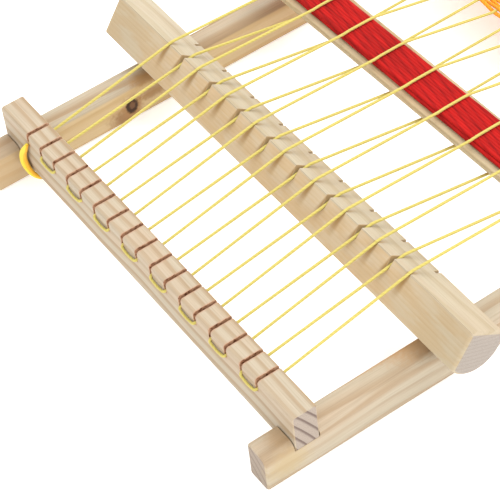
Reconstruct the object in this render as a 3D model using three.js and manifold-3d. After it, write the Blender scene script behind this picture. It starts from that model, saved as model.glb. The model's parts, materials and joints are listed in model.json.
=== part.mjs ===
// A small wooden frame loom with a turning notched heddle bar, warped with cotton thread.
// Millimetres. X runs along the bars, Y along the rails from the front bar to the rear bar, Z up.
// The origin is on the table, under the middle of the outline.
import * as THREE from "three";
import { mergeVertices } from "three/addons/utils/BufferGeometryUtils.js";
import Module from "manifold-3d";

const wasm = await Module();
wasm.setup();

// ---- Driving dimensions ----
const GAP = 0.3; // clearance between pieces that touch
const RAIL = { length: 400, width: 14, height: 22, soft: 1.8, round: 4.5 };
const BAR = { length: 250, depth: 13.2, height: 27, top: 40, soft: 1.6, setback: 16.5 };
const LAP_FLOOR = 16.8; // height of the joint face where a bar crosses a rail
const KERF = { count: 17, pitch: 12.3, width: 1.7, floor: 33, rowShift: -0.95 };
const FRAME_SHIFT = 1.4; // the frame's middle, to the right of the heddle bar's middle
const HEDDLE = { length: 290, radius: 15.2, flat: 8.7, lean: 10.6, round: 2.2, y: 88.5 };
const NOTCH = { floorWidth: 1.7, mouthWidth: 2.8, shallow: 1, deep: 5, edgeCut: 3 };
const THREAD = { radius: 0.55, sides: 6, lowPass: 33.15 }; // lowPass: height under the shuttle
const SHUTTLE = { length: 260, width: 26.6, thickness: 4, y: 170.35, slope: 1.67, cutDepth: 14 };
const WOOL = { width: 21, endWidth: 17, taperFrom: 88, layer: 4, soft: 2.4, shoulder: 10, crest: 6.1 };
const CLOTH = { near: 235.2, far: 350, thickness: 3.6, margin: 2.6, shift: -1.2, fell: 235 };
const SCREW = { head: 3.6, headRim: 0.5, headHeight: 2.4, shank: 1.6, length: 27, sunk: 0.5, hole: 1.95 };

// ---- Values worked out from them ----
const frontFace = -RAIL.length / 2 + BAR.setback; // the front bar's outer face
const railX = BAR.length / 2 - RAIL.width / 2;
const warpZ = KERF.floor + GAP + THREAD.radius;
const heddleY = frontFace + HEDDLE.y;
const heddleZ = RAIL.height + GAP + HEDDLE.radius;
const ridge = HEDDLE.flat * Math.SQRT2; // the ridge's height over the heddle bar's middle
const chord = Math.sqrt(HEDDLE.radius ** 2 - HEDDLE.flat ** 2);
const cornerAngle = THREE.MathUtils.radToDeg(Math.atan2(chord, HEDDLE.flat)) - 45; // below level
const lean = THREE.MathUtils.degToRad(HEDDLE.lean);
const shuttleY = frontFace + SHUTTLE.y;
const shuttleTurn = THREE.MathUtils.degToRad(SHUTTLE.slope);
const woolHalf = SHUTTLE.thickness / 2 + GAP + WOOL.layer;
const passZ = woolHalf + GAP + THREAD.radius; // a thread's height over or under the shuttle's middle
const shuttleZ = THREAD.lowPass + passZ;
const fellY = frontFace + CLOTH.fell; // where the parted threads meet again

const pine = { color: 0xe9cfa4, roughness: 0.62, metalness: 0 };
const palePine = { color: 0xdfc79c, roughness: 0.62, metalness: 0 };
const steel = { color: 0xc9c6bf, roughness: 0.32, metalness: 0.9 };
const yellowCotton = { color: 0xf0d860, roughness: 0.9, metalness: 0 };
const redWool = { color: 0xc4161c, roughness: 0.95, metalness: 0 };
const orangeWool = { color: 0xf59a1c, roughness: 0.95, metalness: 0 };

// ---- Helpers ----
function toSolid(geometry) {
  const bare = geometry.index ? geometry.toNonIndexed() : geometry.clone();
  bare.deleteAttribute("normal");
  bare.deleteAttribute("uv");
  const merged = mergeVertices(bare, 1e-4);
  const vertProperties = new Float32Array(merged.attributes.position.array);
  const triVerts = new Uint32Array(merged.index.array);
  return new wasm.Manifold(new wasm.Mesh({ numProp: 3, vertProperties, triVerts }));
}

function toGeometry(solid) {
  const mesh = solid.getMesh();
  const geometry = new THREE.BufferGeometry();
  geometry.setAttribute("position", new THREE.BufferAttribute(mesh.vertProperties, 3));
  geometry.setIndex(new THREE.BufferAttribute(mesh.triVerts, 1));
  geometry.computeVertexNormals();
  return geometry;
}

function cutAway(geometry, cutters) {
  let solid = toSolid(geometry);
  for (const cutter of cutters) solid = solid.subtract(toSolid(cutter));
  return toGeometry(solid);
}

const root = new THREE.Group();

function addPiece(name, geometry, finish) {
  const mesh = new THREE.Mesh(geometry, new THREE.MeshStandardMaterial(finish));
  mesh.name = name;
  root.add(mesh);
  return mesh;
}

function box(x0, x1, y0, y1, z0, z1) {
  const geometry = new THREE.BoxGeometry(x1 - x0, y1 - y0, z1 - z0);
  return geometry.translate((x0 + x1) / 2, (y0 + y1) / 2, (z0 + z1) / 2);
}

// A rectangle centred on the origin, with one radius for each corner: +u+v, -u+v, -u-v, +u-v.
function roundedOutline(width, height, [r1, r2, r3, r4]) {
  const [u, v] = [width / 2, height / 2];
  const shape = new THREE.Shape();
  shape.absarc(u - r1, v - r1, r1, 0, Math.PI / 2, false);
  shape.absarc(-u + r2, v - r2, r2, Math.PI / 2, Math.PI, false);
  shape.absarc(-u + r3, -v + r3, r3, Math.PI, 1.5 * Math.PI, false);
  shape.absarc(u - r4, -v + r4, r4, 1.5 * Math.PI, 2 * Math.PI, false);
  return shape;
}

// Extrudes an outline to a given length, centred, with its end edges softened by the bevel.
function extrude(shape, length, bevel, curveSegments, bevelSegments = 1) {
  const geometry = new THREE.ExtrudeGeometry(shape, {
    depth: length - 2 * bevel,
    bevelEnabled: bevel > 0,
    bevelThickness: bevel,
    bevelSize: bevel,
    bevelOffset: -bevel,
    bevelSegments,
    curveSegments,
  });
  return geometry.translate(0, 0, -(length - 2 * bevel) / 2);
}

// Outlines drawn in (Y, Z) run along X; outlines drawn in (Z, X) run along Y.
const AXIS = [new THREE.Vector3(1, 0, 0), new THREE.Vector3(0, 1, 0), new THREE.Vector3(0, 0, 1)];
const alongX = new THREE.Matrix4().makeBasis(AXIS[1], AXIS[2], AXIS[0]);
const alongY = new THREE.Matrix4().makeBasis(AXIS[2], AXIS[0], AXIS[1]);

// A line of points taken one by one, so that every ring of a thread falls on a point.
class Run extends THREE.Curve {
  constructor(points) {
    super();
    this.points = points.map((p) => new THREE.Vector3(...p));
  }
  getUtoTmapping(u) {
    return u;
  }
  getPoint(t, target = new THREE.Vector3()) {
    const last = this.points.length - 1;
    const place = Math.min(t * last, last);
    const index = Math.min(Math.floor(place + 1e-9), last - 1);
    return target.lerpVectors(this.points[index], this.points[index + 1], place - index);
  }
  getTangent(t, target = new THREE.Vector3()) {
    const last = this.points.length - 1;
    const index = Math.round(t * last);
    const before = this.points[Math.max(index - 1, 0)];
    const here = this.points[index];
    const after = this.points[Math.min(index + 1, last)];
    const back = here.clone().sub(before).normalize();
    const forward = after.clone().sub(here).normalize();
    return target.copy(back.add(forward)).normalize();
  }
}

function strand(points, radius = THREAD.radius, sides = THREAD.sides) {
  const ring = [];
  for (let i = 0; i < sides; i += 1) {
    const angle = (2 * Math.PI * (i + 0.5)) / sides;
    ring.push(new THREE.Vector2(radius * Math.cos(angle), radius * Math.sin(angle)));
  }
  const path = new Run(points);
  return new THREE.ExtrudeGeometry(new THREE.Shape(ring), { steps: points.length - 1, extrudePath: path });
}

// ---- Frame ----
const barEnds = [-1, 1];
const barY = [frontFace + BAR.depth / 2, -frontFace - BAR.depth / 2];

// The room that a screw takes: clearance round its head and shank, from below the rail up into the bar.
function screwHoles() {
  const { head, headRim, headHeight, hole, sunk, length } = SCREW;
  const profile = [
    [0, -1],
    [head + GAP, -1],
    [head + GAP, sunk + headRim + GAP],
    [hole, sunk + headHeight + 2 * GAP],
    [hole, sunk + length + GAP],
    [0, sunk + length + GAP],
  ].map(([r, z]) => new THREE.Vector2(r, z));
  const holes = [];
  for (const side of barEnds) {
    for (const y of barY) {
      const hollow = new THREE.LatheGeometry(profile, 16).rotateX(Math.PI / 2);
      holes.push({ x: side * railX, y, hollow: hollow.translate(side * railX, y, 0) });
    }
  }
  return holes;
}

// Both rails are the same stick: the long upper edge on its right is rounded over.
function railGeometry(x) {
  const { width, height, soft, round, length } = RAIL;
  const outline = roundedOutline(height, width, [round, soft, soft, soft]);
  const stick = extrude(outline, length, 0.8, 4).applyMatrix4(alongY);
  stick.translate(x, 0, height / 2);
  const laps = barY.map((y) => {
    const half = BAR.depth / 2 + GAP;
    return box(x - width, x + width, y - half, y + half, LAP_FLOOR - GAP, height + 1);
  });
  const holes = screwHoles().filter((hole) => hole.x === x).map((hole) => hole.hollow);
  return cutAway(stick, [...laps, ...holes]);
}

addPiece("left_rail", railGeometry(-railX), pine);
addPiece("right_rail", railGeometry(railX), pine);

function kerfX(index) {
  return KERF.rowShift + (index - (KERF.count + 1) / 2) * KERF.pitch;
}

function warpBarGeometry(y) {
  const { length, depth, height, top, soft } = BAR;
  const outline = roundedOutline(depth, height, [soft, soft, soft, soft]);
  const stick = extrude(outline, length, 0.5, 3).applyMatrix4(alongX);
  stick.translate(0, y, top - height / 2);
  const cutters = [];
  for (let index = 1; index <= KERF.count; index += 1) {
    const x = kerfX(index);
    cutters.push(box(x - KERF.width / 2, x + KERF.width / 2, y - depth, y + depth, KERF.floor, top + 1));
  }
  const inner = railX - RAIL.width / 2 - GAP;
  for (const side of barEnds) {
    const reach = [side * inner, side * length].sort((a, b) => a - b);
    cutters.push(box(...reach, y - depth, y + depth, top - height - 1, LAP_FLOOR));
  }
  for (const hole of screwHoles()) {
    if (hole.y === y) cutters.push(hole.hollow);
  }
  return cutAway(stick, cutters);
}

addPiece("front_warp_bar", warpBarGeometry(barY[0]), pine);
addPiece("rear_warp_bar", warpBarGeometry(barY[1]), pine);

// A countersunk wood screw, driven up through a rail into a bar.
function screwGeometry() {
  const { head, headRim, headHeight, shank, length } = SCREW;
  const profile = [
    [0, 0],
    [head, 0],
    [head, headRim],
    [shank, headHeight],
    [shank, length - 3],
    [0, length],
  ].map(([r, z]) => new THREE.Vector2(r, z));
  const body = new THREE.LatheGeometry(profile, 16).rotateX(Math.PI / 2);
  const slots = [box(-2.2, 2.2, -0.45, 0.45, -1, 1.3), box(-0.45, 0.45, -2.2, 2.2, -1, 1.3)];
  return cutAway(body, slots);
}

for (const [sideName, side] of [["left", -1], ["right", 1]]) {
  for (const [endName, y] of [["front", barY[0]], ["rear", barY[1]]]) {
    const screw = addPiece(`${endName}_${sideName}_screw`, screwGeometry(), steel);
    screw.position.set(side * railX, y, SCREW.sunk);
  }
}

// ---- Heddle bar: a dowel with two flats that meet in a ridge ----
function isOdd(index) {
  return index % 2 === 1;
}

function heddleGeometry() {
  const { radius, length, round } = HEDDLE;
  const outline = new THREE.Shape();
  const corner = THREE.MathUtils.degToRad(cornerAngle);
  outline.absarc(0, 0, radius, Math.PI + corner, 2 * Math.PI - corner, false);
  outline.lineTo(0, ridge);
  const dowel = extrude(outline, length, round, 14, 3).applyMatrix4(alongX);
  dowel.translate(-FRAME_SHIFT, 0, 0);
  const cutters = [];
  for (let index = 1; index <= KERF.count; index += 1) {
    const depth = isOdd(index) ? NOTCH.shallow : NOTCH.deep;
    const [low, high] = [NOTCH.floorWidth / 2, NOTCH.mouthWidth / 2];
    const wedge = new THREE.Shape();
    wedge.moveTo(ridge + 1, -high);
    wedge.lineTo(ridge + 1, high);
    wedge.lineTo(ridge - depth, low);
    wedge.lineTo(ridge - depth, -low);
    wedge.closePath();
    cutters.push(extrude(wedge, 2 * radius, 0, 1).applyMatrix4(alongY).translate(kerfX(index), 0, 0));
    if (isOdd(index)) {
      const floor = radius - NOTCH.edgeCut;
      const cut = box(-low, low, -radius, radius, floor, radius + 2);
      cutters.push(cut.rotateX(-Math.PI / 2 - corner).translate(kerfX(index), 0, 0));
    }
  }
  return cutAway(dowel, cutters);
}

const heddle = addPiece("heddle_bar", heddleGeometry(), palePine);
heddle.position.set(0, heddleY, heddleZ);
heddle.rotation.x = lean;

// A place on the heddle bar, from its own middle, turned as the bar lies.
function onHeddle(y, z) {
  const turned = new THREE.Vector3(0, y, z).applyAxisAngle(AXIS[0], lean);
  return [heddleY + turned.y, heddleZ + turned.z];
}

// ---- Shuttle: a flat stick with a notch in each end, wound lengthwise with wool ----
function shuttleStickGeometry() {
  const { length, width, thickness, cutDepth } = SHUTTLE;
  const [end, side] = [length / 2, width / 2];
  const mouth = WOOL.endWidth / 2 + GAP + 0.5;
  const tip = (side - mouth) / 2;
  const outline = new THREE.Shape();
  for (const way of [1, -1]) {
    outline.absarc(way * (end - tip), -way * (side - tip), tip, way > 0 ? -Math.PI / 2 : Math.PI / 2,
      way > 0 ? Math.PI / 2 : 1.5 * Math.PI, false);
    outline.lineTo(way * (end - cutDepth), -way * mouth);
    outline.lineTo(way * (end - cutDepth), way * mouth);
    outline.absarc(way * (end - tip), way * (side - tip), tip, way > 0 ? -Math.PI / 2 : Math.PI / 2,
      way > 0 ? Math.PI / 2 : 1.5 * Math.PI, false);
  }
  return extrude(outline, thickness, 0.6, 8);
}

// The winding is a long band that runs over the stick, round its end notches and back under it.
// It narrows towards the notches.
function woolGeometry() {
  const inner = roundedOutline(
    SHUTTLE.length - 2 * SHUTTLE.cutDepth + 2 * GAP,
    SHUTTLE.thickness + 2 * GAP,
    [0.8, 0.8, 0.8, 0.8],
  );
  const reach = SHUTTLE.length - 2 * SHUTTLE.cutDepth + 2 * GAP + 2 * WOOL.layer;
  const radius = woolHalf - 0.5;
  const outline = roundedOutline(reach, 2 * woolHalf, [radius, radius, radius, radius]);
  const points = outline.getPoints(6);
  const belt = [];
  for (const [index, point] of points.entries()) {
    const before = points[(index + points.length - 1) % points.length];
    if (Math.abs(point.x - before.x) > 2 * WOOL.taperFrom) {
      const way = Math.sign(point.x - before.x);
      belt.push(new THREE.Vector2(-way * WOOL.taperFrom, point.y));
      belt.push(new THREE.Vector2(way * WOOL.taperFrom, point.y));
    }
    belt.push(point);
  }
  const band = extrude(new THREE.Shape(belt), WOOL.width, WOOL.soft, 1);
  const place = band.attributes.position;
  for (let index = 0; index < place.count; index += 1) {
    const beyond = Math.max(Math.abs(place.getX(index)) - WOOL.taperFrom, 0);
    const share = Math.min(beyond / (reach / 2 - radius - WOOL.taperFrom), 1);
    const narrowing = THREE.MathUtils.lerp(1, WOOL.endWidth / WOOL.width, share);
    place.setZ(index, place.getZ(index) * narrowing);
  }
  const hollow = extrude(inner, WOOL.width + 2, 0, 2);
  return cutAway(band, [hollow]).rotateX(Math.PI / 2);
}

const shuttle = new THREE.Group();
shuttle.position.set(0, shuttleY, shuttleZ);
shuttle.rotation.z = shuttleTurn;
root.add(shuttle);
shuttle.add(addPiece("shuttle_stick", shuttleStickGeometry(), pine));
shuttle.add(addPiece("shuttle_wool", woolGeometry(), redWool));

// A point beside the shuttle: x across the loom, then the distance behind and above its middle.
function bySide(x, behind, above) {
  return [x, shuttleY + x * Math.tan(shuttleTurn) + behind / Math.cos(shuttleTurn), shuttleZ + above];
}

// ---- Warp: one long thread, laid front to back 17 times ----
const shoulderDrop = 0.35; // how much nearer a thread lies over the winding's edges
const rearFace = -frontFace;
const innerFront = frontFace + BAR.depth;
const innerRear = rearFace - BAR.depth;

// The loop round a tooth, over a bar's outer face, between two kerfs. way is -1 in front, 1 behind.
function toothLoop(from, to, face, way) {
  const off = THREAD.radius + 0.4;
  const step = Math.sign(to - from);
  const outer = face + way * off;
  return [
    [from + step * 0.45, face + way * (off - 0.12), warpZ - 0.35],
    [from + step * 1.6, outer, warpZ - 0.9],
    [(from + to) / 2, outer, warpZ - 1.5],
    [to - step * 1.6, outer, warpZ - 0.9],
    [to - step * 0.45, face + way * (off - 0.12), warpZ - 0.35],
  ];
}

const heddleTouch = {
  odd: { height: ridge - NOTCH.shallow + GAP + THREAD.radius, mouth: NOTCH.shallow + 0.8 },
  even: { height: ridge - NOTCH.deep + GAP + THREAD.radius, mouth: NOTCH.deep + 1 },
};

function parity(index) {
  return isOdd(index) ? "odd" : "even";
}

// From a kerf of the front bar up to the heddle bar; an odd one starts with the tooth loop before it.
function frontRun(index) {
  const x = kerfX(index);
  const { height, mouth } = heddleTouch[parity(index)];
  const points = [];
  if (isOdd(index) && index > 1) {
    points.push([kerfX(index - 1), frontFace + 0.05, warpZ - 0.05]);
    points.push(...toothLoop(kerfX(index - 1), x, frontFace, -1));
    points.push([x, frontFace + 0.1, warpZ]);
  } else {
    points.push([x, frontFace + 0.4, warpZ]);
  }
  points.push([x, innerFront, warpZ]);
  points.push([kerfX(index), ...onHeddle(-mouth, height - 0.12)]);
  points.push([kerfX(index), ...onHeddle(-GAP / 2, height)]);
  return points;
}

// From the heddle bar down to where the shuttle parts the threads.
function shedRun(index) {
  const { height, mouth } = heddleTouch[parity(index)];
  const side = isOdd(index) ? 1 : -1;
  return [
    [kerfX(index), ...onHeddle(GAP / 2, height)],
    [kerfX(index), ...onHeddle(mouth, height)],
    bySide(kerfX(index), -WOOL.shoulder - GAP / 2, side * (passZ - shoulderDrop)),
  ];
}

// Over or under the shuttle, through the woven cloth and into the rear bar.
function rearRun(index) {
  const side = isOdd(index) ? 1 : -1;
  const offsets = [
    [-WOOL.shoulder + GAP / 2, passZ - shoulderDrop],
    [-WOOL.crest, passZ],
    [WOOL.crest, passZ],
    [WOOL.shoulder, passZ - shoulderDrop],
  ];
  const points = offsets.map(([behind, above]) => {
    return bySide(kerfX(index), behind, side * above);
  });
  points.push([kerfX(index), fellY, warpZ]);
  points.push([kerfX(index), innerRear, warpZ]);
  return points;
}

function twoDigits(index) {
  return String(index).padStart(2, "0");
}

for (let index = 1; index <= KERF.count; index += 1) {
  addPiece(`warp_${twoDigits(index)}_front`, strand(frontRun(index)), yellowCotton);
  addPiece(`warp_${twoDigits(index)}_shed`, strand(shedRun(index)), yellowCotton);
}

for (let index = 1; index < KERF.count; index += 2) {
  const there = [...rearRun(index), [kerfX(index), rearFace - 0.1, warpZ]];
  const back = [...rearRun(index + 1), [kerfX(index + 1), rearFace - 0.1, warpZ]];
  const loop = toothLoop(kerfX(index), kerfX(index + 1), rearFace, 1);
  const name = `warp_${twoDigits(index)}_${twoDigits(index + 1)}_rear`;
  addPiece(name, strand([...there, ...loop, ...back.reverse()]), yellowCotton);
}

// The last end runs out of its kerf behind the rear bar and hangs there as a short tail.
const lastX = kerfX(KERF.count);
const tail = [
  [lastX, rearFace - 0.1, warpZ],
  [lastX, rearFace + 0.8, warpZ - 0.3],
  [lastX + 0.1, rearFace + 1.15, warpZ - 1.4],
  [lastX + 0.4, rearFace + 1.1, warpZ - 4],
  [lastX + 1.2, rearFace + 1.1, warpZ - 9],
  [lastX + 1.6, rearFace + 1.2, warpZ - 14],
];
addPiece(`warp_${KERF.count}_rear`, strand([...rearRun(KERF.count), ...tail]), yellowCotton);

// The warp starts with a few slack turns of thread, out of the first kerf and under the front bar.
const firstX = kerfX(1);
const wraps = [
  [firstX - 0.2, frontFace - 1.8, warpZ - 0.6],
  [firstX - 2.2, frontFace - 2.4, warpZ - 3.4],
  [firstX - 5.2, frontFace - 3, warpZ - 8],
  [firstX - 6.6, frontFace - 3.2, warpZ - 13],
  [firstX - 5.6, frontFace - 2.8, warpZ - 18],
  [firstX - 2, frontFace - 1.4, warpZ - 21.8],
  [firstX + 1.6, frontFace + 1.6, warpZ - 23.2],
  [firstX + 3.4, frontFace + 6, warpZ - 23.2],
  [firstX + 3.6, frontFace + 11, warpZ - 23.2],
  [firstX + 3.3, innerFront + 0.9, warpZ - 22.4],
  [firstX + 2.8, innerFront + 2.1, warpZ - 19.6],
  [firstX + 2, innerFront + 2, warpZ - 15],
  [firstX + 0.8, innerFront + 2, warpZ - 8],
  [firstX + 0.1, innerFront + 1.8, warpZ - 2.4],
];
addPiece("warp_start_wraps", strand(wraps, 1.4, 8), yellowCotton);

// ---- Woven cloth: a plain slab with a channel for every warp thread ----
function clothGeometry() {
  const half = (KERF.pitch * (KERF.count - 1)) / 2 + CLOTH.margin;
  const middle = KERF.rowShift + CLOTH.shift;
  const [low, high] = [warpZ - CLOTH.thickness / 2, warpZ + CLOTH.thickness / 2];
  const slab = box(middle - half, middle + half, frontFace + CLOTH.near, frontFace + CLOTH.far, low, high);
  const channels = [];
  for (let index = 1; index <= KERF.count; index += 1) {
    const near = [kerfX(index), fellY - 2, warpZ];
    const far = [kerfX(index), innerRear - 1, warpZ];
    channels.push(strand([near, far], THREAD.radius + GAP));
  }
  return cutAway(slab, channels);
}

addPiece("woven_cloth", clothGeometry(), orangeWool);

root.position.x = FRAME_SHIFT;
export default root;
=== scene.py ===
"""Looks of a small pine frame loom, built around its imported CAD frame. Z up, the loom on z = 0.

Lengths here are in millimetres, and MM turns them into Blender's metres.
"""
import json
import math
import random

import bpy
import numpy as np
from mathutils import Matrix, Quaternion, Vector


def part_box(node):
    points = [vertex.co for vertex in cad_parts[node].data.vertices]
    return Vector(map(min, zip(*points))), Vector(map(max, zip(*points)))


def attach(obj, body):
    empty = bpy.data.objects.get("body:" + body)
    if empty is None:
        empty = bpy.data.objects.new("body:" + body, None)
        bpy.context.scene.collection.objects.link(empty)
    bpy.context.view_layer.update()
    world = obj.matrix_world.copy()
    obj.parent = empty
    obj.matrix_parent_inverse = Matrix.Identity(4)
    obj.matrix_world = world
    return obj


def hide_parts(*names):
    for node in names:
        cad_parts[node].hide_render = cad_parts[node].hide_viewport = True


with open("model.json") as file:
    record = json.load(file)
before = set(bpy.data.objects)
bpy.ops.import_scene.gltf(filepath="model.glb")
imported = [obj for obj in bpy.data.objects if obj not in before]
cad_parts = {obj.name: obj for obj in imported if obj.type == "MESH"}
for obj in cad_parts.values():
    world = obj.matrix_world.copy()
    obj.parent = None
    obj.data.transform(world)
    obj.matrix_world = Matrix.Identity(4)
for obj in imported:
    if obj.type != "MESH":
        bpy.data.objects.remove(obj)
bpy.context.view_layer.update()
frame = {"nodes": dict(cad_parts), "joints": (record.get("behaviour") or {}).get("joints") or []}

MM = 0.001
nodes = frame["nodes"]
joints = {joint["name"]: joint for joint in frame["joints"]}


def box_mm(node):
    low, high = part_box(node)
    return low / MM, high / MM


# ---- Places, from the frame ----
bar_low, bar_high = box_mm("front_warp_bar")
rear_low, rear_high = box_mm("rear_warp_bar")
left_low, left_high = box_mm("left_rail")
right_low, right_high = box_mm("right_rail")
cloth_low, cloth_high = box_mm("woven_cloth")
wool_low, wool_high = box_mm("shuttle_wool")
FRONT_FACE, INNER_FRONT = bar_low.y, bar_high.y
INNER_REAR, REAR_FACE = rear_low.y, rear_high.y
HEDDLE_AXIS = Vector(joints["heddle_turn"]["pos_m"]) / MM
SHUTTLE_WAY = Vector(joints["shuttle_slide"]["axis"]).normalized()
SHUTTLE_TURN = math.atan2(SHUTTLE_WAY.y, SHUTTLE_WAY.x)
SHUTTLE_MIDDLE = (wool_low + wool_high) / 2

# ---- Sizes that the warp is laid by ----
KERFS = 17
PITCH = 12.3
KERF_ROW = 0.45  # x of the middle kerf and of the middle notch in the heddle bar
KERF_WIDTH = 1.7
KERF_FLOOR = 33
WARP_Z = 33.85  # the middle of a thread that lies in a kerf
LEAN = math.radians(10.6)  # how far the heddle bar's ridge leans to the front
RIDGE = 8.7 * math.sqrt(2)  # the ridge's height over the heddle bar's middle
SHALLOW, DEEP = 1, 5  # notch depths
THREAD_LIFT = 0.85  # the middle of a thread over what it lies on
WOOL_HALF = 6.3  # half the winding's thickness
PASS_Z = WOOL_HALF + THREAD_LIFT
SHOULDER, CREST, SHOULDER_DROP = 10, 6.1, 0.35
WOOL_WIDTH, WOOL_END, TAPER_FROM = 21, 17, 88  # the winding narrows towards the shuttle's notches
OVERLAP = 0.5  # how far neighbouring spans run into each other where they meet
STICK_HALF = 2  # half the shuttle stick's thickness
FELL_Y = FRONT_FACE + 235  # where the parted threads meet again
WARP_RADIUS = 0.74


# ---- Camera, floor and light ----
def make_camera():
    data = bpy.data.cameras.new("camera")
    data.sensor_width = 36
    data.lens = 159.9
    data.shift_x, data.shift_y = -0.0392, -0.0251
    data.clip_start, data.clip_end = 0.05, 20
    camera = bpy.data.objects.new("camera", data)
    bpy.context.scene.collection.objects.link(camera)
    look = Vector((-0.57559, 0.33842, -0.74443))
    roll = Quaternion(look, math.radians(6.66))
    camera.rotation_mode = "QUATERNION"
    camera.rotation_quaternion = roll @ look.to_track_quat("-Z", "Y")
    camera.location = Vector((631.6, -481.2, 813.5)) * MM
    bpy.context.scene.camera = camera


def make_area(name, place, aim, size, power, colour=(1, 1, 1)):
    data = bpy.data.lights.new(name, "AREA")
    data.shape = "SQUARE"
    data.size = size
    data.energy = power
    data.color = colour
    lamp = bpy.data.objects.new(name, data)
    bpy.context.scene.collection.objects.link(lamp)
    lamp.location = place
    lamp.rotation_mode = "QUATERNION"
    lamp.rotation_quaternion = (Vector(aim) - Vector(place)).to_track_quat("-Z", "Y")


def make_studio():
    scene = bpy.context.scene
    scene.view_settings.view_transform = "Standard"
    world = bpy.data.worlds.new("studio")
    world.use_nodes = True
    backdrop = world.node_tree.nodes["Background"]
    backdrop.inputs["Color"].default_value = (1, 0.995, 0.985, 1)
    backdrop.inputs["Strength"].default_value = 1.35
    scene.world = world
    make_area("overhead_softbox", (-0.3, 0.9, 1.7), (0, 0, 0), 1.6, 24, (1, 0.985, 0.96))
    make_area("side_softbox", (1.6, -0.3, 0.9), (0, 0, 0.02), 0.9, 6)


def make_floor():
    mesh = bpy.data.meshes.new("floor")
    reach = 6
    corners = [(-reach, -reach, 0), (reach, -reach, 0), (reach, reach, 0), (-reach, reach, 0)]
    mesh.from_pydata(corners, [], [(0, 1, 2, 3)])
    floor = bpy.data.objects.new("floor", mesh)
    bpy.context.scene.collection.objects.link(floor)
    g = Graph("floor_paper")
    speckle = g.noise(g.coords, 0.02, 3)
    g.finish(g.ramp(speckle, [(0.3, (0.95, 0.95, 0.95)), (0.7, (0.97, 0.97, 0.97))]), 0.9)
    g.shader.inputs["Emission Color"].default_value = (1, 1, 1, 1)
    g.shader.inputs["Emission Strength"].default_value = 0.3
    mesh.materials.append(g.material)


# ---- Building materials ----
class Graph:
    """A node material, built call by call. Coordinates are the piece's own, in millimetres."""

    def __init__(self, name):
        self.material = bpy.data.materials.new(name)
        self.material.use_nodes = True
        self.tree = self.material.node_tree
        self.shader = self.tree.nodes["Principled BSDF"]
        self.coord_node = self.tree.nodes.new("ShaderNodeTexCoord")
        self.coords = self.vector("SCALE", self.coord_node.outputs["Object"], Scale=1 / MM)

    def put(self, socket, value):
        if isinstance(value, bpy.types.NodeSocket):
            self.tree.links.new(value, socket)
        elif isinstance(value, (tuple, list)) and len(socket.default_value) == 4:
            socket.default_value = (*value, 1)[:4]
        else:
            socket.default_value = value

    def vector(self, operation, *values, Scale=None):
        node = self.tree.nodes.new("ShaderNodeVectorMath")
        node.operation = operation
        for socket, value in zip(node.inputs, values):
            self.put(socket, value)
        if Scale is not None:
            node.inputs["Scale"].default_value = Scale
        return node.outputs["Value" if operation in ("LENGTH", "DOT_PRODUCT", "DISTANCE") else "Vector"]

    def math(self, operation, *values):
        node = self.tree.nodes.new("ShaderNodeMath")
        node.operation = operation
        for socket, value in zip(node.inputs, values):
            self.put(socket, value)
        return node.outputs[0]

    def split(self, vector):
        node = self.tree.nodes.new("ShaderNodeSeparateXYZ")
        self.put(node.inputs[0], vector)
        return list(node.outputs)

    def join(self, x, y, z):
        node = self.tree.nodes.new("ShaderNodeCombineXYZ")
        for socket, value in zip(node.inputs, (x, y, z)):
            self.put(socket, value)
        return node.outputs[0]

    def noise(self, vector, scale=1.0, detail=2.0, roughness=0.5, colour=False):
        node = self.tree.nodes.new("ShaderNodeTexNoise")
        self.put(node.inputs["Vector"], vector)
        node.inputs["Scale"].default_value = scale
        node.inputs["Detail"].default_value = detail
        node.inputs["Roughness"].default_value = roughness
        return node.outputs["Color" if colour else "Fac"]

    def ramp(self, value, stops, smooth=False):
        node = self.tree.nodes.new("ShaderNodeValToRGB")
        self.put(node.inputs[0], value)
        band = node.color_ramp
        band.interpolation = "EASE" if smooth else "LINEAR"
        while len(band.elements) < len(stops):
            band.elements.new(0.5)
        for element, (place, colour) in zip(band.elements, stops):
            element.position = place
            element.color = (*colour, 1) if isinstance(colour, tuple) else (colour, colour, colour, 1)
        return node.outputs[0]

    def fade(self, value, start, end, low=0.0, high=1.0):
        """low before start, high after end, and a smooth change between them."""
        node = self.tree.nodes.new("ShaderNodeMapRange")
        node.interpolation_type = "SMOOTHSTEP"
        for socket, item in zip(node.inputs, (value, start, end, low, high)):
            self.put(socket, item)
        return node.outputs[0]

    def mix(self, share, first, second, blend="MIX"):
        node = self.tree.nodes.new("ShaderNodeMix")
        node.data_type = "RGBA"
        node.blend_type = blend
        self.put(node.inputs[0], share)
        self.put(node.inputs[6], first)
        self.put(node.inputs[7], second)
        return node.outputs[2]

    def face_direction(self):
        """The way a face points, in the piece's own frame, without the smoothing over its edges."""
        geometry = self.tree.nodes.new("ShaderNodeNewGeometry")
        turned = self.tree.nodes.new("ShaderNodeVectorTransform")
        turned.vector_type = "NORMAL"
        turned.convert_from, turned.convert_to = "WORLD", "OBJECT"
        self.tree.links.new(geometry.outputs["True Normal"], turned.inputs[0])
        return turned.outputs[0]

    def attribute(self, name):
        node = self.tree.nodes.new("ShaderNodeAttribute")
        node.attribute_name = name
        return node.outputs["Fac"]

    def bump(self, height, distance, strength=1.0):
        node = self.tree.nodes.new("ShaderNodeBump")
        node.inputs["Strength"].default_value = strength
        node.inputs["Distance"].default_value = distance * MM
        self.put(node.inputs["Height"], height)
        self.tree.links.new(node.outputs[0], self.shader.inputs["Normal"])

    def finish(self, colour, roughness):
        self.put(self.shader.inputs["Base Color"], colour)
        self.put(self.shader.inputs["Roughness"], roughness)
        return self.material


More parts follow.
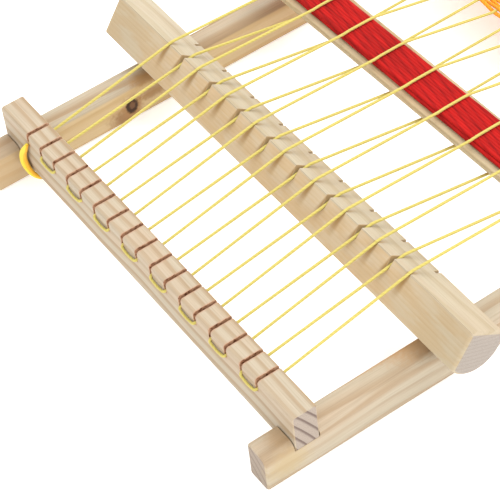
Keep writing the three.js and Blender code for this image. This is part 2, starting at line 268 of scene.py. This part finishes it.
# ---- Wood ----
SEED_STRIDE = 517.0  # how far apart along the log two sticks are cut
PINE = {
    "early": (0.425, 0.362, 0.270),
    "late": (0.315, 0.213, 0.118),
    "rosy": (0.438, 0.344, 0.244),
    "end_early": (0.335, 0.272, 0.222),
    "end_late": (0.13, 0.085, 0.068),
}


def wood(name, grain, pith, ring, seed, wobble=1.2, tones=PINE, late_share=0.5, end_waves=0.5,
         extra=None):
    """Pine cut from a log: rings round a pith line that runs along the grain, with fibres and end grain.

    grain is 0 for a stick along x and 1 for one along y, and pith is where the log's middle is across it.
    ring is the width of a year, wobble and end_waves how far the rings stray along and across the stick,
    and extra a function that paints marks over the wood.
    """
    g = Graph(name)
    x, y, z = g.split(g.coords)
    along, across = (x, y) if grain == 0 else (y, x)
    here = g.join(across, z, g.math("ADD", along, seed * SEED_STRIDE))
    drift = g.vector("MULTIPLY", here, (0.05, 0.05, 0.0045))
    bend = g.vector("SUBTRACT", g.noise(drift, 1, 2, 0.45, colour=True), (0.5, 0.5, 0.5))
    slow = g.noise(g.vector("MULTIPLY", here, (0.0, 0.0, 0.012)), 1, 1, colour=True)
    slow = g.vector("SUBTRACT", slow, (0.5, 0.5, 0.5))
    bend = g.vector("SCALE", bend, Scale=end_waves * 4)
    bend = g.vector("ADD", bend, g.vector("SCALE", slow, Scale=wobble * 5))
    moved = g.vector("ADD", here, bend)
    u, v, _ = g.split(g.vector("SUBTRACT", moved, (*pith, 0)))
    radius = g.math("SQRT", g.math("ADD", g.math("MULTIPLY", u, u), g.math("MULTIPLY", v, v)))
    turn = g.math("FRACT", g.math("DIVIDE", radius, ring))
    count = g.math("FLOOR", g.math("DIVIDE", radius, ring))
    lateness = g.math("MULTIPLY", g.fade(turn, 0.35, 0.84), g.fade(turn, 0.91, 1.0, 1.0, 0.0))
    stretched = g.vector("MULTIPLY", here, (1.5, 1.5, 0.02))
    fibre = g.noise(stretched, 1, 4, 0.62)
    fine = g.noise(g.vector("MULTIPLY", here, (4.5, 4.5, 0.06)), 1, 3, 0.6)
    patch = g.noise(g.vector("MULTIPLY", here, (0.07, 0.07, 0.011)), 1, 2, 0.5)
    vary = g.noise(g.join(g.math("MULTIPLY", count, 3.7), seed * 1.3, 0.5), 1, 0)
    strength = g.math("MULTIPLY", g.fade(vary, 0.3, 0.7, 0.55, 1.15), late_share * 1.35)
    share = g.math("MINIMUM", g.math("MULTIPLY", lateness, strength), 1.0)
    tone = g.mix(g.fade(patch, 0.4, 0.68), tones["early"], tones["rosy"])
    colour = g.mix(share, tone, tones["late"])
    streak = g.ramp(fibre, [(0.25, (0.80, 0.775, 0.74)), (0.48, (1.0, 1.0, 1.0)), (0.78, (1.07, 1.08, 1.10))])
    colour = g.mix(1.0, colour, streak, "MULTIPLY")
    hair = g.ramp(fine, [(0.3, (0.90, 0.885, 0.86)), (0.62, (1.04, 1.04, 1.04))])
    colour = g.mix(1.0, colour, hair, "MULTIPLY")
    facing = g.split(g.face_direction())[grain]
    end = g.fade(g.math("ABSOLUTE", facing), 0.9, 0.985)
    pores = g.noise(g.vector("MULTIPLY", here, (2.6, 2.6, 0.2)), 1, 3, 0.65)
    end_line = g.math("MULTIPLY", g.fade(turn, 0.55, 0.84), g.fade(turn, 0.90, 0.99, 1.0, 0.0))
    end_colour = g.mix(g.math("MULTIPLY", end_line, 0.92), tones["end_early"], tones["end_late"])
    end_colour = g.mix(1.0, end_colour, g.ramp(pores, [(0.32, 0.74), (0.6, 1.12)]), "MULTIPLY")
    colour = g.mix(end, colour, end_colour)
    if extra:
        colour = extra(g, colour, (x, y, z))
    relief = g.math("ADD", g.math("MULTIPLY", fibre, 0.6), g.math("MULTIPLY", fine, 0.4))
    relief = g.math("ADD", relief, g.math("MULTIPLY", share, 0.35))
    g.bump(relief, 0.10, 0.5)
    g.shader.inputs["Specular IOR Level"].default_value = 0.3
    return g.finish(colour, g.fade(fibre, 0.3, 0.7, 0.58, 0.70))


def stain(g, colour, coords, middle, reach, paint, strength=1.0, edge=0.35, grit=0.25):
    """Blends paint in over an ellipsoid with an uneven edge, round middle and reach wide, in millimetres."""
    x, y, z = coords
    parts = []
    for value, centre, half in zip((x, y, z), middle, reach):
        part = g.math("DIVIDE", g.math("SUBTRACT", value, centre), half)
        parts.append(g.math("MULTIPLY", part, part))
    distance = g.math("SQRT", g.math("ADD", g.math("ADD", parts[0], parts[1]), parts[2]))
    ragged = g.noise(g.vector("MULTIPLY", g.join(x, y, z), (0.45, 0.45, 0.45)), 1, 3, 0.6)
    distance = g.math("ADD", distance, g.fade(ragged, 0.2, 0.8, -grit, grit))
    share = g.math("MULTIPLY", g.fade(distance, 1 - edge, 1 + edge, 1.0, 0.0), strength)
    return g.mix(share, colour, paint)


def burnt_kerfs(g, colour, coords):
    """The saw leaves the kerfs' walls scorched, and a little of the top beside them."""
    x, y, z = coords
    first = KERF_ROW - (KERFS - 1) / 2 * PITCH
    place = g.math("DIVIDE", g.math("SUBTRACT", x, first), PITCH)
    nearest = g.math("ROUND", place)
    nearest = g.math("MINIMUM", g.math("MAXIMUM", nearest, 0.0), KERFS - 1.0)
    away = g.math("MULTIPLY", g.math("ABSOLUTE", g.math("SUBTRACT", place, nearest)), PITCH)
    wall = g.fade(away, KERF_WIDTH / 2 + 0.06, KERF_WIDTH / 2 + 0.26, 1.0, 0.0)
    glow = g.fade(away, KERF_WIDTH / 2 + 0.1, KERF_WIDTH / 2 + 1.3, 1.0, 0.0)
    above = g.fade(z, KERF_FLOOR - 0.7, KERF_FLOOR - 0.2)
    soot = g.noise(g.vector("MULTIPLY", g.join(x, y, z), (0.6, 0.5, 0.5)), 1, 3, 0.6)
    scorch = g.ramp(soot, [
        (0.36, (0.14, 0.055, 0.025)),
        (0.45, (0.38, 0.19, 0.105)),
        (0.66, (0.56, 0.36, 0.23)),
    ])
    warm = g.math("MULTIPLY", g.math("MULTIPLY", glow, above), 0.42)
    colour = g.mix(warm, colour, (0.42, 0.25, 0.16))
    return g.mix(g.math("MULTIPLY", wall, above), colour, scorch)


def rail_marks_left(g, colour, coords):
    """Painted light on the inner side face, which is made lighter; a knot on the inner side in a brown stain,
    dark streaks beyond it and a browner front end.
    """
    inner = left_high.x
    top = left_high.z
    brown, dark, tan = (0.25, 0.12, 0.042), (0.03, 0.012, 0.005), (0.35, 0.19, 0.075)
    x, y, z = coords
    # painted light: the inner side face is painted lighter, standing in for the light falling on it
    side = g.fade(x, inner - 1.2, inner - 0.4)
    colour = g.mix(g.math("MULTIPLY", side, 0.6), colour, (0.62, 0.45, 0.225))
    colour = stain(g, colour, coords, (inner - 2, -122, 5), (9, 9, 6), brown, 0.8, 0.6)
    colour = stain(g, colour, coords, (inner, -118.2, 9.5), (6, 5.6, 7), tan, 0.8, 0.4)
    colour = stain(g, colour, coords, (inner, -118.2, 9.7), (4, 3.6, 5.0), dark, 0.97, 0.2, 0.12)
    colour = stain(g, colour, coords, (inner, -118.0, 9.9), (3, 1.7, 2.4), (0.17, 0.08, 0.035), 0.85, 0.4)
    colour = stain(g, colour, coords, (inner - 1, -107, top), (4.5, 9, 3), (0.35, 0.20, 0.08), 0.85, 0.5)
    colour = stain(g, colour, coords, (inner, -104, 12), (5, 9, 4), brown, 0.65, 0.6)
    middle = (left_low.x + inner) / 2
    return stain(g, colour, coords, (middle, -197, 10), (20, 26, 30), (0.40, 0.27, 0.16), 0.45, 0.6)


def rail_marks_right(g, colour, coords):
    """Darker amber on the inner top edge where it runs under the heddle bar, and a warm patch near the front."""
    inner = right_low.x
    top = right_high.z
    amber = (0.40, 0.235, 0.105)
    # darker amber where the heddle bar crosses the rail's inner top edge
    colour = stain(g, colour, coords, (inner + 1.5, -108, top), (8, 13, 7), amber, 0.75, 0.7)
    colour = stain(g, colour, coords, (inner, -118, top), (2.2, 24, 3), amber, 0.6, 0.7)
    colour = stain(g, colour, coords, (right_high.x, -188, 12), (5, 10, 8), (0.42, 0.31, 0.15), 0.6, 0.7)
    return stain(g, colour, coords, (inner + 5, -186, top), (9, 6, 4), (0.39, 0.255, 0.13), 0.6, 0.7)


def heddle_marks(g, colour, coords):
    """Painted shade: the front flat is painted a darker tan, eased lighter over the middle, with a brown smudge
    under each notch and the notches' slots darkened as painted shade.
    """
    x, y, z = coords
    ridge_y = HEDDLE_AXIS.y - RIDGE * math.sin(LEAN)
    ridge_z = HEDDLE_AXIS.z + RIDGE * math.cos(LEAN)
    lengthwise = g.math("ABSOLUTE", g.split(g.face_direction())[0])
    # painted shade: a darker tan over the front flat, which faces away from the light
    front = g.fade(y, ridge_y - 0.7, ridge_y - 0.1, 1.0, 0.0)
    front = g.math("MULTIPLY", front, g.fade(lengthwise, 0.72, 0.93, 1.0, 0.0))
    mottle = g.noise(g.vector("MULTIPLY", g.join(x, y, z), (0.045, 0.16, 0.16)), 1, 3, 0.55)
    tan = g.mix(g.fade(mottle, 0.42, 0.62), (0.425, 0.305, 0.165), (0.44, 0.355, 0.235))
    colour = g.mix(g.math("MULTIPLY", front, 0.65), colour, tan)
    place = g.math("DIVIDE", g.math("SUBTRACT", x, KERF_ROW), PITCH)
    offset = g.math("MULTIPLY", g.math("SUBTRACT", place, g.math("ROUND", place)), PITCH)
    from_middle = g.math("ABSOLUTE", g.math("SUBTRACT", x, KERF_ROW))
    inside = g.fade(from_middle, 100, 103, 1.0, 0.0)
    # the painted tan shade is eased lighter over the middle of the front flat
    lighter_middle = g.math("MULTIPLY", g.fade(from_middle, 80, 135, 1.0, 0.0), front)
    colour = g.mix(lighter_middle, colour, g.mix(1.0, colour, (1.25, 1.21, 1.2), "MULTIPLY"))
    # a brown smudge under each notch on the front flat, widening and leaning as it runs down
    below = g.math("SUBTRACT", ridge_z, z)
    lean_in = g.math("ADD", offset, g.math("MULTIPLY", below, 0.22))
    away = g.math("ABSOLUTE", lean_in)
    narrow = g.fade(away, 0.4, g.math("ADD", 1.6, g.math("MULTIPLY", below, 0.18)), 1.0, 0.0)
    short = g.fade(below, 4.0, 15.0, 1.0, 0.0)
    smudge = g.math("MULTIPLY", g.math("MULTIPLY", narrow, short), g.math("MULTIPLY", inside, front))
    colour = g.mix(g.math("MULTIPLY", smudge, 0.95), colour, (0.30, 0.175, 0.06))
    away = g.math("ABSOLUTE", offset)
    slot = g.fade(away, 0.9, 1.5, 1.0, 0.0)
    cut_wall = g.math("MULTIPLY", g.fade(lengthwise, 0.25, 0.5), inside)
    colour = g.mix(g.math("MULTIPLY", cut_wall, 0.85), colour, (0.46, 0.335, 0.19))
    # painted shade: each notch's slot is darkened, fading out about 5.5 mm below the ridge
    notch_shade = g.math("MULTIPLY", g.math("MULTIPLY", slot, inside), g.fade(below, -0.5, 5.5, 0.75, 0.0))
    return g.mix(notch_shade, colour, (0.36, 0.215, 0.08))


def soften_wood(node, width):
    """Joins the CAD solid's split faces and takes its sharp edges off, as sandpaper would."""
    piece = nodes[node]
    weld = piece.modifiers.new("weld", "WELD")
    weld.merge_threshold = 0.002 * MM
    flat = piece.modifiers.new("flat", "DECIMATE")
    flat.decimate_type = "DISSOLVE"
    flat.angle_limit = math.radians(0.5)
    bevel = piece.modifiers.new("softened", "BEVEL")
    bevel.width = width * MM
    bevel.segments = 2
    bevel.limit_method = "ANGLE"
    bevel.angle_limit = math.radians(32)
    bevel.harden_normals = False
    even = piece.modifiers.new("even_faces", "WEIGHTED_NORMAL")
    even.keep_sharp = False
    for polygon in piece.data.polygons:
        polygon.use_smooth = True
    return piece


def dress(node, material):
    piece = nodes[node]
    piece.data.materials.clear()
    piece.data.materials.append(material)


def make_woodwork():
    rail_tones = dict(PINE, end_early=(0.30, 0.237, 0.182), end_late=(0.205, 0.15, 0.115))
    for side, (low, high), seed, late_share, marks in (
        ("left", (left_low, left_high), 1.7, 0.75, rail_marks_left),
        ("right", (right_low, right_high), 4.4, 0.42, rail_marks_right),
    ):
        middle = (low.x + high.x) / 2
        material = wood(f"pine_{side}_rail", 1, (middle - 24, -16), 5.2, seed, tones=rail_tones,
                        late_share=late_share, extra=marks)
        dress(f"{side}_rail", material)
        soften_wood(f"{side}_rail", 0.35)
    front = wood("pine_front_bar", 0, (FRONT_FACE - 122.4, -50), 4.4, 2.3, wobble=0.9, late_share=0.58,
                 end_waves=0.2, extra=burnt_kerfs)
    dress("front_warp_bar", front)
    soften_wood("front_warp_bar", 0.12)
    rear = wood("pine_rear_bar", 0, (REAR_FACE + 40, -14), 4.8, 6.1, late_share=0.6, extra=burnt_kerfs)
    dress("rear_warp_bar", rear)
    soften_wood("rear_warp_bar", 0.12)
    pale = dict(PINE, early=(0.440, 0.380, 0.277), rosy=(0.432, 0.354, 0.250), late=(0.356, 0.278, 0.165),
                end_early=(0.315, 0.270, 0.232), end_late=(0.285, 0.240, 0.205))
    heddle = wood("pine_heddle_bar", 0, (HEDDLE_AXIS.y + 70, 190), 2.2, 8.2, wobble=0.7, tones=pale,
                  late_share=0.5, end_waves=0.3, extra=heddle_marks)
    dress("heddle_bar", heddle)
    soften_wood("heddle_bar", 0.15)
    honey = dict(PINE, early=(0.455, 0.372, 0.232), rosy=(0.475, 0.358, 0.212), late=(0.38, 0.255, 0.125))
    stick = wood("pine_shuttle", 0, (SHUTTLE_MIDDLE.y - 12, 4), 3.2, 9.9, wobble=0.9, tones=honey,
                 late_share=0.45)
    dress("shuttle_stick", stick)
    soften_wood("shuttle_stick", 0.25)


def make_screws():
    g = Graph("screw_steel")
    ring = g.noise(g.vector("MULTIPLY", g.coords, (2.5, 2.5, 0.6)), 1, 3, 0.6)
    tint = g.ramp(ring, [(0.3, (0.42, 0.40, 0.37)), (0.7, (0.62, 0.60, 0.56))])
    g.shader.inputs["Metallic"].default_value = 1.0
    g.bump(ring, 0.03, 0.4)
    steel = g.finish(tint, g.fade(ring, 0.3, 0.7, 0.28, 0.46))
    for end in ("front", "rear"):
        for side in ("left", "right"):
            dress(f"{end}_{side}_screw", steel)


# ---- Yarn ----
def rounded(points, reach):
    """The same route with each corner turned into a short curve that starts within reach of it."""
    points = [Vector(p) for p in points]
    route = [points[0]]
    for before, corner, after in zip(points, points[1:], points[2:]):
        cut_in = min(reach, (corner - before).length * 0.45)
        cut_out = min(reach, (after - corner).length * 0.45)
        start = corner + (before - corner).normalized() * cut_in
        end = corner + (after - corner).normalized() * cut_out
        for step in range(7):
            t = step / 6
            route.append(start * (1 - t) ** 2 + corner * 2 * t * (1 - t) + end * t * t)
    route.append(points[-1])
    return route


def evenly(route, step):
    """Points at even distances along a route, as an array, and the distances."""
    route = np.array([tuple(p) for p in route])
    lengths = np.concatenate([[0], np.cumsum(np.linalg.norm(np.diff(route, axis=0), axis=1))])
    count = max(4, round(lengths[-1] / step))
    places = np.linspace(0, lengths[-1], count + 1)
    return np.stack([np.interp(places, lengths, route[:, k]) for k in range(3)], axis=1), places


def side_vectors(points, closed):
    """Two unit vectors across the route at each point, carried along it without turning."""
    if closed:
        tangents = np.roll(points, -1, axis=0) - np.roll(points, 1, axis=0)
    else:
        tangents = np.gradient(points, axis=0)
    tangents /= np.linalg.norm(tangents, axis=1, keepdims=True)
    first = np.cross(tangents[0], (0.0, 0.0, 1.0))
    if np.linalg.norm(first) < 0.1:
        first = np.cross(tangents[0], (1.0, 0.0, 0.0))
    across = [first / np.linalg.norm(first)]
    for tangent in tangents[1:]:
        carried = across[-1] - tangent * np.dot(across[-1], tangent)
        across.append(carried / np.linalg.norm(carried))
    across = np.array(across)
    return across, np.cross(tangents, across)


class Strands:
    """A mesh that yarns are added to. Each yarn is one closed, twisted body with a lobe for each ply."""

    def __init__(self):
        self.corners, self.faces, self.painted_shade = [], [], []
        self.total = 0

    def add(self, route, radius, plies=2, twist=4.6, step=0.6, sides=10, lobe=0.07, squash=1.0, phase=0.0):
        points, places = evenly(route, step)
        across, up = side_vectors(points, False)
        angles = 2 * np.pi * np.arange(sides) / sides
        turned = angles[None, :] - 2 * np.pi * places[:, None] / twist - phase
        swell = np.abs(np.cos(plies / 2 * turned))
        reach = radius * (1 - lobe + lobe * swell)
        rings = (
            points[:, None, :]
            + across[:, None, :] * (reach * np.cos(angles))[:, :, None]
            + up[:, None, :] * (reach * np.sin(angles) * squash)[:, :, None]
        )
        count = len(points)
        start = self.total
        self.corners.append(rings.reshape(-1, 3))
        # painted shade weight, highest in the creases between plies
        self.painted_shade.append((1 - swell).reshape(-1))
        for ring in range(count - 1):
            base = start + ring * sides
            for side in range(sides):
                other = (side + 1) % sides
                self.faces.append((base + side, base + other, base + sides + other, base + sides + side))
        self.faces.append(tuple(start + side for side in reversed(range(sides))))
        self.faces.append(tuple(start + (count - 1) * sides + side for side in range(sides)))
        self.total += count * sides

    def build(self, name, material, body, slot, *replaced):
        mesh = bpy.data.meshes.new(name)
        corners = np.concatenate(self.corners) * MM
        mesh.from_pydata(corners.tolist(), [], self.faces)
        layer = mesh.attributes.new("painted_shade", "FLOAT", "POINT")
        layer.data.foreach_set("value", np.concatenate(self.painted_shade).astype(np.float32))
        mesh.polygons.foreach_set("use_smooth", [len(face) == 4 for face in self.faces])
        mesh.materials.append(material)
        piece = bpy.data.objects.new(name, mesh)
        bpy.context.scene.collection.objects.link(piece)
        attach(piece, body)
        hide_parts(*replaced)
        return piece


def yarn_material(name, bright, deep, grain, sheen, rough=0.85, vary=0.12):
    """Spun yarn: the deep colour is painted shade in the creases between plies, with fine fibres along it and
    slow changes of tone.
    """
    g = Graph(name)
    painted_shade = g.attribute("painted_shade")
    fibre = g.noise(g.vector("MULTIPLY", g.coords, grain), 1, 4, 0.65)
    slow = g.noise(g.vector("MULTIPLY", g.coords, (0.09, 0.09, 0.09)), 1, 2)
    # painted shade: mixes in the deep colour by the per-point shade weight
    colour = g.mix(g.fade(painted_shade, 0.25, 0.95), bright, deep)
    spread = g.ramp(fibre, [(0.28, 1 - vary * 1.6), (0.55, 1.0), (0.8, 1 + vary * 0.6)])
    colour = g.mix(1.0, colour, spread, "MULTIPLY")
    colour = g.mix(1.0, colour, g.ramp(slow, [(0.3, 1 - vary * 0.6), (0.7, 1.0)]), "MULTIPLY")
    g.bump(fibre, 0.08, 0.6)
    g.shader.inputs["Sheen Weight"].default_value = sheen
    g.shader.inputs["Sheen Roughness"].default_value = 0.5
    g.shader.inputs["Specular IOR Level"].default_value = 0.25
    return g.finish(colour, rough)


# ---- The warp's route: one thread, laid front to back, in spans ----
def odd(index):
    return index % 2 == 1


def kerf_x(index):
    return KERF_ROW + (index - (KERFS + 1) / 2) * PITCH


def on_heddle(y, z):
    turned = Matrix.Rotation(LEAN, 3, "X") @ Vector((0, y, z))
    return HEDDLE_AXIS.y + turned.y, HEDDLE_AXIS.z + turned.z


def by_shuttle(x, behind, above):
    """A point beside the shuttle: x across the loom, then how far behind and above its middle."""
    y = SHUTTLE_MIDDLE.y + (x - SHUTTLE_MIDDLE.x) * math.tan(SHUTTLE_TURN) + behind / math.cos(SHUTTLE_TURN)
    return x, y, SHUTTLE_MIDDLE.z + above


def tooth_loop(start, end, face, way):
    """Round the tooth between two kerfs, over a bar's outer face: way is -1 in front and 1 behind."""
    off = 0.95
    step = math.copysign(1, end - start)
    return [
        (start + step * 0.45, face + way * (off - 0.12), WARP_Z - 0.45),
        (start + step * 1.6, face + way * off, WARP_Z - 1.1),
        ((start + end) / 2, face + way * (off + 0.05), WARP_Z - 1.8),
        (end - step * 1.6, face + way * off, WARP_Z - 1.1),
        (end - step * 0.45, face + way * (off - 0.12), WARP_Z - 0.45),
    ]


def notch_depth(index):
    return SHALLOW if odd(index) else DEEP


def heddle_touch(index):
    depth = notch_depth(index)
    mouth = depth + (0.8 if odd(index) else 1)
    return RIDGE - depth + THREAD_LIFT, mouth


def front_route(index):
    x = kerf_x(index)
    height, mouth = heddle_touch(index)
    points = []
    if odd(index) and index > 1:
        points.append((kerf_x(index - 1), FRONT_FACE + 0.9, WARP_Z))
        points.append((kerf_x(index - 1), FRONT_FACE + 0.05, WARP_Z - 0.05))
        points += tooth_loop(kerf_x(index - 1), x, FRONT_FACE, -1)
        points.append((x, FRONT_FACE + 0.1, WARP_Z))
    else:
        points.append((x, FRONT_FACE + 0.2, WARP_Z))
    points.append((x, INNER_FRONT, WARP_Z))
    points.append((kerf_x(index), *on_heddle(-mouth, height - 0.12)))
    points.append((kerf_x(index), *on_heddle(OVERLAP, height)))
    return points


def shed_route(index):
    height, mouth = heddle_touch(index)
    side = 1 if odd(index) else -1
    return [
        (kerf_x(index), *on_heddle(-OVERLAP, height)),
        (kerf_x(index), *on_heddle(mouth, height)),
        by_shuttle(kerf_x(index), -SHOULDER + OVERLAP, side * (PASS_Z - SHOULDER_DROP)),
    ]


def rear_route(index):
    side = 1 if odd(index) else -1
    over_wool = ((-SHOULDER - OVERLAP, SHOULDER_DROP), (-CREST, 0), (CREST, 0), (SHOULDER, SHOULDER_DROP))
    points = [by_shuttle(kerf_x(index), behind, side * (PASS_Z - drop)) for behind, drop in over_wool]
    points.append((kerf_x(index), FELL_Y, WARP_Z))
    points.append((kerf_x(index), INNER_REAR, WARP_Z))
    return points


def tail_route():
    """The last end comes out of its kerf behind the rear bar and hangs down there."""
    x = kerf_x(KERFS)
    drops = [(0, -0.1, 0), (0, 0.8, 0.3), (0.1, 1.15, 1.4), (0.4, 1.1, 4), (1.2, 1.1, 9), (1.6, 1.2, 14)]
    return [(x + across, REAR_FACE + out, WARP_Z - down) for across, out, down in drops]


def wrap_route(aside, out):
    """One slack turn at the start of the warp: out of the first kerf and under the front bar."""
    x = kerf_x(1)
    points = [
        (x - 0.2, FRONT_FACE - 1.2, WARP_Z - 0.2),
        (x - 2.2, FRONT_FACE - 2.0, WARP_Z - 3.4),
        (x - 5.2, FRONT_FACE - 2.6, WARP_Z - 8),
        (x - 6.6, FRONT_FACE - 2.8, WARP_Z - 13),
        (x - 5.6, FRONT_FACE - 2.4, WARP_Z - 18),
        (x - 2, FRONT_FACE - 1.2, WARP_Z - 21.8),
        (x + 1.6, FRONT_FACE + 1.6, WARP_Z - 23.0),
        (x + 3.4, FRONT_FACE + 6, WARP_Z - 23.1),
        (x + 3.6, FRONT_FACE + 11, WARP_Z - 23.1),
        (x + 3.3, INNER_FRONT + 0.9, WARP_Z - 22.4),
        (x + 2.8, INNER_FRONT + 2.0, WARP_Z - 19.6),
        (x + 2, INNER_FRONT + 1.8, WARP_Z - 15),
        (x + 0.8, INNER_FRONT + 1.8, WARP_Z - 8),
        (x + 0.1, INNER_FRONT + 1.6, WARP_Z - 2.0),
    ]
    last = len(points) - 1
    slack = [math.sin(math.pi * min(place / (last * 0.6), 1)) for place in range(last + 1)]
    return [(px + aside * s, py - out * s, pz) for (px, py, pz), s in zip(points, slack)]


def two_digits(index):
    return f"{index:02d}"


def make_warp():
    cotton = yarn_material("warp_cotton", (0.58, 0.49, 0.13), (0.50, 0.41, 0.10), (2.2, 0.5, 2.2), 0.1,
                           vary=0.07)
    for parity, first in (("odd", 1), ("even", 2)):
        some = range(first, KERFS + 1, 2)
        front, shed = Strands(), Strands()
        for index in some:
            front.add(rounded(front_route(index), 0.9), WARP_RADIUS, phase=index)
            shed.add(rounded(shed_route(index), 1.2), WARP_RADIUS, phase=index * 1.7)
        front.build(f"warp_front_{parity}_threads", cotton, f"warp_front_{parity}", "warp_cotton",
                    *[f"warp_{two_digits(i)}_front" for i in some])
        shed.build(f"warp_shed_{parity}_threads", cotton, f"warp_shed_{parity}", "warp_cotton",
                   *[f"warp_{two_digits(i)}_shed" for i in some])
    rear = Strands()
    names = []
    for index in range(1, KERFS, 2):
        there = [*rear_route(index), (kerf_x(index), REAR_FACE - 0.1, WARP_Z)]
        back = [*rear_route(index + 1), (kerf_x(index + 1), REAR_FACE - 0.1, WARP_Z)]
        loop = tooth_loop(kerf_x(index), kerf_x(index + 1), REAR_FACE, 1)
        rear.add(rounded([*there, *loop, *reversed(back)], 1.0), WARP_RADIUS, phase=index * 0.9)
        names.append(f"warp_{two_digits(index)}_{two_digits(index + 1)}_rear")
    rear.add(rounded([*rear_route(KERFS), *tail_route()], 1.0), WARP_RADIUS)
    names.append(f"warp_{KERFS}_rear")
    rear.build("warp_rear_threads", cotton, "frame", "warp_cotton", *names)
    # the orange deep colour is painted shade on the strands nearer the bar
    slack = yarn_material("slack_cotton", (0.78, 0.61, 0.06), (0.72, 0.29, 0.02), (1.2, 1.2, 0.4), 0.1,
                          vary=0.06)
    wraps = Strands()
    for aside, out, phase in ((-0.5, -0.1, 0), (0.8, 0.7, 2), (2.1, 0.5, 4), (3.2, -0.7, 6)):
        wraps.add(rounded(wrap_route(aside, out), 2.5), 0.95, twist=14, phase=phase, step=0.5, lobe=0.03)
    for share, painted_shade in zip((0, 0, 0.35, 0.7), wraps.painted_shade):  # painted shade, deeper towards the bar
        painted_shade[:] = share
    wraps.build("warp_start_turns", slack, "frame", "warp_cotton", "warp_start_wraps")


# ---- Wool on the shuttle ----
def make_shuttle_wool():
    """Yarn wound lengthwise: a lower layer straight along the stick, and an upper one slightly across it."""
    red = yarn_material("red_wool", (0.46, 0.008, 0.006), (0.33, 0.004, 0.004), (0.03, 0.42, 0.42), 0.0,
                        0.95, 0.26)
    chance = random.Random(7)
    strands = Strands()
    half = (wool_high.x - wool_low.x) / 2 / math.cos(SHUTTLE_TURN)
    turn = Matrix.Rotation(SHUTTLE_TURN, 3, "Z")

    def loop(first, second, last, layer, radius):
        """Over the stick from one end to the other, round its notch and back below it."""
        height = STICK_HALF + 0.25 + radius * (1 + 1.25 * layer)
        end = half - WOOL_HALF + height - radius - 0.1
        flat = end - height
        points = []
        for step in range(13):
            t = step / 12
            lift = chance.uniform(-0.07, 0.07)
            points.append((-flat + 2 * flat * t, first + (second - first) * t, height + lift))
        for step in range(1, 8):
            a = math.pi * step / 8
            points.append((flat + height * math.sin(a), second, height * math.cos(a)))
        for step in range(13):
            t = step / 12
            lift = chance.uniform(-0.07, 0.07)
            points.append((flat - 2 * flat * t, second + (last - second) * t, -height - lift))
        for step in range(1, 8):
            a = math.pi * step / 8
            points.append((-flat - height * math.sin(a), last, -height * math.cos(a)))
        return points

    def narrowing(x):
        share = (abs(x) - TAPER_FROM) / (half - TAPER_FROM)
        return 1 - (1 - WOOL_END / WOOL_WIDTH) * min(max(share, 0), 1)

    for layer, radius, count, drift in ((0, 1.2, 9, 0.6), (1, 1.25, 11, 2.6)):
        spread = WOOL_WIDTH / 2 - radius
        route = []
        for k in range(count):
            even = -spread + 2 * spread * k / (count - 1)
            follow = -spread + 2 * spread * min(k + 1, count - 1) / (count - 1)
            squeeze = (spread - drift / 2) / spread
            route += loop(even * squeeze - drift / 2, even * squeeze + drift / 2,
                          follow * squeeze - drift / 2, layer, radius)
        placed = [turn @ Vector((x, y * narrowing(x), z)) + SHUTTLE_MIDDLE for x, y, z in route]
        strands.add(placed, radius, plies=2, twist=34, step=1.1, sides=12, lobe=0.05, phase=layer)
    strands.build("shuttle_wool_turns", red, "shuttle", "red_wool", "shuttle_wool")


# ---- Woven cloth ----
PICK = 2.2  # about how far one row of weft is from the next
WEFT_RADIUS = 1.16
WEAVE = 0.9  # how far the weft swings over and under the warp
SELVEDGE = 1.25  # the weft's middle, in from the cloth's edge


def make_cloth():
    """Plain weave: one orange yarn that passes over and under the warp and turns back at each edge."""
    orange = yarn_material("orange_wool", (0.86, 0.33, 0.014), (0.60, 0.17, 0.006), (0.5, 2.4, 2.4), 0.15,
                           0.9, 0.16)
    chance = random.Random(11)
    length = cloth_high.y - cloth_low.y
    count = int(length / PICK)
    pick = length / count
    route = []
    for row in range(count):
        y = cloth_low.y + pick * (row + 0.5)
        way = 1 if row % 2 == 0 else -1
        edge_in = chance.uniform(-0.4, 0.4)
        line = []
        for index in range(1, KERFS + 1):
            side = 1 if (index + row) % 2 == 0 else -1
            x = kerf_x(index)
            line.append((x - PITCH / 4, y, WARP_Z + side * WEAVE * 0.55))
            line.append((x, y, WARP_Z + side * WEAVE))
            line.append((x + PITCH / 4, y, WARP_Z + side * WEAVE * 0.55))
        line[0] = (cloth_low.x + SELVEDGE + edge_in, y, WARP_Z)
        line[-1] = (cloth_high.x - SELVEDGE + edge_in, y, WARP_Z)
        route += line[::way]
    strands = Strands()
    strands.add(rounded(route, 2.2), WEFT_RADIUS, plies=3, twist=6.5, step=1.0, sides=10, lobe=0.18, squash=0.82)
    cloth = strands.build("woven_band", orange, "frame", "orange_wool", "woven_cloth")


make_camera()
make_studio()
make_floor()
make_woodwork()
make_screws()
make_warp()
make_shuttle_wool()
make_cloth()
